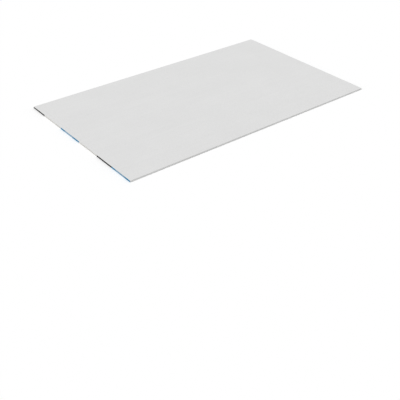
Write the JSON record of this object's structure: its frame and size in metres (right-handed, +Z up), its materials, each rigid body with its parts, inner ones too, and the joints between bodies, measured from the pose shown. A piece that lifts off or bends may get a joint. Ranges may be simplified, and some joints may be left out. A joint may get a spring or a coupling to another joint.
{
  "type": "drywall sheet",
  "caption": "Flat gypsum board sheet with paper liners, shallow tapers along its paper-folded long edges, and colour-block paper tape over the cut ends.",
  "frame": {"origin": "centre of the back of the sheet, which lies on the floor", "axes": "+X along the length, +Y across the width, +Z up out of the face"},
  "size_m": [2.0004, 1.2, 0.0125],
  "materials": {
    "liner_paper": "matte",
    "end_tape": "matte"
  },
  "bodies": {
    "root": {"gypsum_board": "liner_paper", "end_tape_left": "end_tape", "end_tape_right": "end_tape"}
  },
  "joints": []
}
